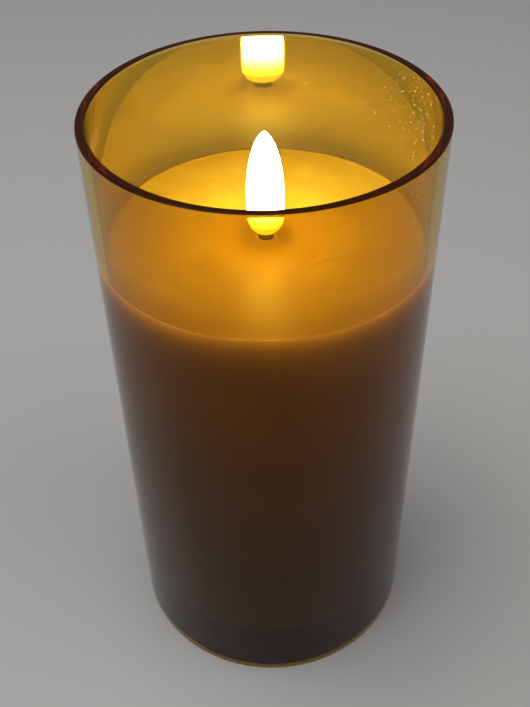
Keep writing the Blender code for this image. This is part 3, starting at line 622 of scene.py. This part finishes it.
def make_cells():
    """The two cells, with rounded shoulders, a domed positive pole and a dished negative end."""
    for number, way in ((1, 1), (2, -1)):
        node = f"battery_{number}"
        low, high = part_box(node)
        radius = (high.z - low.z) / 2
        length = high.x - low.x
        body = length - 1.0 * MM     # without the positive pole
        pole = 2.6 * MM
        pole_edge = 0.3 * MM
        round_edge = 0.5 * MM
        sunk = 0.15 * MM             # the steel end, below the folded jacket
        dish = 0.25 * MM             # the negative end's
        profile = [(0.0, length), (1.6 * MM, length)]
        profile += arc((pole - pole_edge, length - pole_edge), pole_edge, 90, 0, 4)
        profile += [(pole, body + 0.02 * MM), (pole + 0.3 * MM, body - sunk)]
        profile += [(radius - CELL_RIM, body - sunk), (radius - 0.9 * MM, body)]
        profile += arc((radius - round_edge, body - round_edge), round_edge, 90, 0, 5)
        profile += [(radius, length * share) for share in (0.75, 0.5, 0.25)]
        profile += arc((radius - round_edge, round_edge), round_edge, 0, -90, 5)
        profile += [(radius - CELL_RIM, 0.0), (radius - 1.3 * MM, dish), (0.0, dish)]
        mesh = turned_mesh(f"cell_{number}", profile, ROUND, closed=False)
        start = low.x if way > 0 else high.x
        mesh.transform(Matrix.Translation((start, (low.y + high.y) / 2, (low.z + high.z) / 2))
                       @ Matrix.Rotation(way * math.pi / 2, 4, "Y"))
        cell = add_piece(f"cell_{number}", mesh, cell_material(f"cell_jacket_{number}", way))
        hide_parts(node)


def bar_mesh(shape, start, end, width, bottom, top):
    """A straight raised stroke with chamfered edges, added to a bmesh."""
    start, end = Vector((*start, 0.0)), Vector((*end, 0.0))
    along = (end - start).normalized() * width / 2
    across = Vector((-along.y, along.x, 0.0))
    rows = []
    for inset, height in ((1.0, top), (0.6, bottom)):
        along_in, across_in = along * inset, across * inset
        corners = [start - along_in - across_in, start - along_in + across_in,
                   end + along_in + across_in, end + along_in - across_in]
        rows.append([shape.verts.new((c.x, c.y, height)) for c in corners])
    for index in range(4):
        after = (index + 1) % 4
        shape.faces.new((rows[0][index], rows[0][after], rows[1][after], rows[1][index]))
    shape.faces.new(rows[0])
    shape.faces.new(rows[1])


def make_switch_marks():
    """Raised marks beside the switch: a line for on, a ring for off and a clock for the timer."""
    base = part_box("base_housing")[0].z
    low, high = base - 0.12 * MM, base + 0.05 * MM
    width = 0.4 * MM
    hand_width = 0.25 * MM
    half_line = 0.9 * MM
    hand = 0.5 * MM
    y = -18.3 * MM
    switch_low, switch_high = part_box("switch_shell")
    middle = (switch_low.x + switch_high.x) / 2
    pitch = 4.0 * MM
    line_x, clock_x = middle - pitch, middle + pitch
    shape = bmesh.new()
    bar_mesh(shape, (line_x, y - half_line), (line_x, y + half_line), width, low, high)

    def ring(x):
        radius, sides = 1.05 * MM, 40
        circle = [(math.cos(2 * math.pi * i / sides), math.sin(2 * math.pi * i / sides))
                  for i in range(sides)]
        loops = []
        for reach, height in ((radius - width / 2, high), (radius + width / 2, high),
                              (radius + 0.3 * width, low), (radius - 0.3 * width, low)):
            loops.append([shape.verts.new((x + reach * across, y + reach * up, height))
                          for across, up in circle])
        for first, second in zip(loops, loops[1:] + loops[:1]):
            for i in range(sides):
                after = (i + 1) % sides
                shape.faces.new((first[i], first[after], second[after], second[i]))

    ring(middle)
    ring(clock_x)
    bar_mesh(shape, (clock_x, y), (clock_x, y + hand), hand_width, low, high)
    bar_mesh(shape, (clock_x, y), (clock_x + hand, y), hand_width, low, high)
    bmesh.ops.recalc_face_normals(shape, faces=shape.faces)
    mesh = bpy.data.meshes.new("switch_marks")
    shape.to_mesh(mesh)
    shape.free()
    marks = add_piece("switch_marks", mesh, moulded("mark_plastic", (0.05, 0.048, 0.045), 0.5))


def smooth_look():
    """A modifier's node group that shades gentle edges smooth and leaves sharp ones sharp."""
    group = bpy.data.node_groups.new("smooth_look", "GeometryNodeTree")
    group.interface.new_socket("Geometry", in_out="INPUT", socket_type="NodeSocketGeometry")
    group.interface.new_socket("Geometry", in_out="OUTPUT", socket_type="NodeSocketGeometry")
    enter = group.nodes.new("NodeGroupInput")
    leave = group.nodes.new("NodeGroupOutput")
    faces = group.nodes.new("GeometryNodeSetShadeSmooth")
    edges = group.nodes.new("GeometryNodeSetShadeSmooth")
    edges.domain = "EDGE"
    edges.inputs["Shade Smooth"].default_value = False
    angle = group.nodes.new("GeometryNodeInputMeshEdgeAngle")
    sharp = group.nodes.new("FunctionNodeCompare")
    sharp.operation = "GREATER_THAN"
    sharp.inputs[1].default_value = NODE_SHARP
    group.links.new(enter.outputs[0], faces.inputs["Geometry"])
    group.links.new(faces.outputs[0], edges.inputs["Geometry"])
    group.links.new(angle.outputs["Unsigned Angle"], sharp.inputs[0])
    group.links.new(sharp.outputs[0], edges.inputs["Selection"])
    group.links.new(edges.outputs[0], leave.inputs[0])
    return group


def dress_nodes():
    """Materials for the CAD nodes that show as they are, by the record's slot."""
    finishes = {
        "base_plastic": moulded("black_plastic", (0.016, 0.014, 0.012), 0.45),
        "knob": moulded("knob_plastic", (0.022, 0.021, 0.020), 0.36, 1500.0),
        "stem": moulded("stem_plastic", (0.028, 0.008, 0.002), 0.6, 1600.0, wear=0.0),
        "holder": moulded("holder_plastic", (0.72, 0.68, 0.58), 0.5, wear=0.2),
        "epoxy": moulded("black_epoxy", (0.010, 0.010, 0.010), 0.22, 300.0, 0.1 * MM, 0.2),
        "terminal": moulded("brown_laminate", (0.26, 0.13, 0.05), 0.55, 1800.0),
        "red_lead": moulded("red_insulation", (0.50, 0.015, 0.012), 0.38, 900.0),
        "black_lead": moulded("black_insulation", (0.018, 0.018, 0.018), 0.38, 900.0),
        "screw": metal("zinc_steel", (0.60, 0.61, 0.62), 0.28, (10.0, 10.0, 1.0)),
        "can": metal("drawn_can", (0.62, 0.62, 0.63), 0.24),
        "nickel": metal("nickel_plate", (0.64, 0.61, 0.55), 0.2, (12.0, 1.0, 12.0)),
        "bronze": metal("phosphor_bronze", (0.62, 0.38, 0.20), 0.25),
        "board_green": board("green_board", (0.012, 0.085, 0.030), (0.03, 0.19, 0.06),
                             230.0),
        "board_white": board("white_board", (0.78, 0.78, 0.74), (0.62, 0.60, 0.55), 400.0),
        "resistor": resistor_material(),
        "capacitor": capacitor_material(),
        "led": chip_material(),
    }
    slots = {part["node"]: part["material_slot"] for part in frame["record"]["subparts"]}
    group = smooth_look()
    for name, node in frame["nodes"].items():
        if slots[name] not in finishes:
            continue
        node.data.materials.clear()
        node.data.materials.append(finishes[slots[name]])
        node.modifiers.new("smooth_look", "NODES").node_group = group


# --- Stage -----------------------------------------------------------------------------

def make_stage():
    """The pale floor, the even surroundings and the two lamps."""
    shape = bmesh.new()
    bmesh.ops.create_grid(shape, x_segments=1, y_segments=1, size=FLOOR_SIZE)
    mesh = bpy.data.meshes.new("floor")
    shape.to_mesh(mesh)
    shape.free()
    n = Nodes("pale_floor")
    pale = n.add("BsdfPrincipled", {"Base Color": (0.78, 0.77, 0.75), "Roughness": 0.7})
    mesh.materials.append(n.show(pale.outputs[0]))
    floor = bpy.data.objects.new("floor", mesh)
    bpy.context.scene.collection.objects.link(floor)

    world = bpy.data.worlds.new("studio")
    world.use_nodes = True
    background = world.node_tree.nodes["Background"]
    background.inputs["Color"].default_value = WORLD_COLOR
    background.inputs["Strength"].default_value = WORLD_STRENGTH
    bpy.context.scene.world = world
    for lamp in LAMPS:
        add_light(*lamp)


def add_light(name, place, size, power):
    """A square lamp aimed at the middle of the candle."""
    light = bpy.data.lights.new(name, "AREA")
    light.size = size
    light.energy = power
    lamp = bpy.data.objects.new(name, light)
    bpy.context.scene.collection.objects.link(lamp)
    lamp.location = place
    aim = Vector((0, 0, GLASS_TOP / 2)) - Vector(place)
    lamp.rotation_euler = aim.to_track_quat("-Z", "Y").to_euler()


def make_camera():
    camera = bpy.data.cameras.new("camera")
    camera.lens = CAMERA_LENS
    camera.sensor_width = CAMERA_SENSOR
    camera.clip_start = 0.01
    viewer = bpy.data.objects.new("camera", camera)
    bpy.context.scene.collection.objects.link(viewer)
    viewer.matrix_world = (Matrix.Translation(CAMERA_PLACE) @ Matrix.Rotation(-CAMERA_YAW, 4, "Z")
                           @ Matrix.Rotation(math.pi / 2 - CAMERA_PITCH, 4, "X")
                           @ Matrix.Rotation(CAMERA_ROLL, 4, "Z"))
    bpy.context.scene.camera = viewer


make_camera()
make_glass()
make_wax()
make_sealant()
make_flame()
make_cells()
make_switch_marks()
dress_nodes()
make_stage()
bpy.context.scene.view_settings.view_transform = "Standard"
